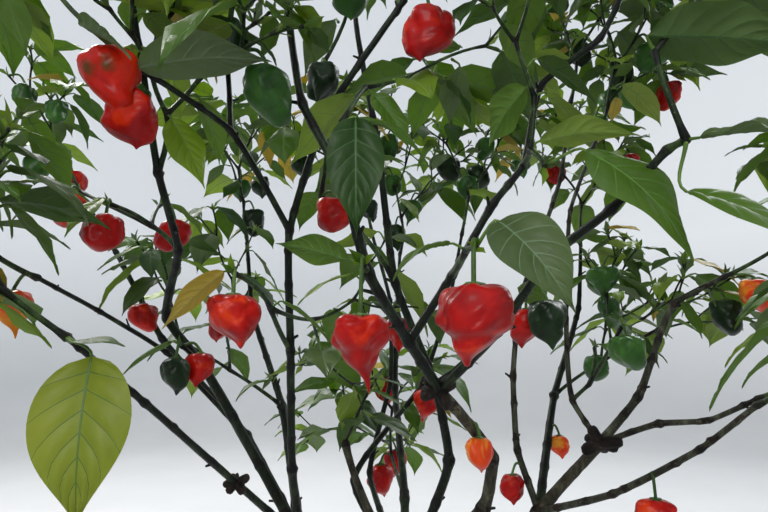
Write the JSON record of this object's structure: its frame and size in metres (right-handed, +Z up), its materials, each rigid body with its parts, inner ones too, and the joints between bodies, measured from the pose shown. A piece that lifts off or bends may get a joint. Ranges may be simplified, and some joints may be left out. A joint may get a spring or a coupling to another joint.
{
  "type": "chilli pepper plant",
  "caption": "Tall open chilli pepper plant: a short woody trunk, forking stems and boughs, pointed leaves and hanging wrinkled pods.",
  "frame": {"origin": "middle of the flat cut under the trunk, at ground level", "axes": "+Z up, -Y towards the camera of the picture, +X to its right"},
  "size_m": [1.1952, 0.8869, 1.2388],
  "materials": {
    "bark": "matte",
    "green_bark": "satin",
    "foliage": "satin"
  },
  "bodies": {
    "root": {"trunk": "bark", "stem_left": "bark", "stem_middle": "bark", "stem_right": "bark", "leader_left": "green_bark", "bough_near_upper_left": "green_bark", "bough_upper_left": "green_bark", "bough_far_left": "green_bark", "bough_tall_left": "green_bark", "bough_low_left": "green_bark", "bough_left": "green_bark", "leader_near": "green_bark", "bough_near_right": "green_bark", "bough_upper_right": "green_bark", "leader_middle": "green_bark", "bough_back_centre_right": "green_bark", "bough_back_centre": "green_bark", "bough_right": "green_bark", "bough_right_level": "green_bark", "bough_tall_right": "green_bark", "bough_lowest_right": "green_bark", "leader_right": "green_bark", "bough_back_left": "green_bark", "bough_back_right": "green_bark", "bough_back": "green_bark", "foliage_near_upper_left": "foliage", "foliage_upper_left": "foliage", "foliage_top_left": "foliage", "foliage_far_left": "foliage", "foliage_left": "foliage", "foliage_low_left": "foliage", "foliage_top": "foliage", "foliage_top_middle": "foliage", "foliage_top_near": "foliage", "foliage_upper_right": "foliage", "foliage_near_right": "foliage", "foliage_right": "foliage", "foliage_right_level": "foliage", "foliage_tall_right": "foliage", "foliage_lowest_right": "foliage", "foliage_top_right": "foliage", "foliage_back_centre_right": "foliage", "foliage_back_centre": "foliage", "foliage_back_left": "foliage", "foliage_back_right": "foliage", "foliage_back": "foliage", "foliage_back_lower_left": "foliage", "foliage_back_lower_right": "foliage", "foliage_back_lower": "foliage", "foliage_centre_near": "foliage", "foliage_middle": "foliage", "foliage_left_centre": "foliage", "foliage_inner": "foliage", "foliage_left_inner": "foliage", "foliage_centre_right": "foliage", "foliage_centre_inner": "foliage", "foliage_right_inner": "foliage", "foliage_hanging_near": "foliage", "foliage_left_lower": "foliage", "foliage_left_upper": "foliage"}
  },
  "joints": []
}
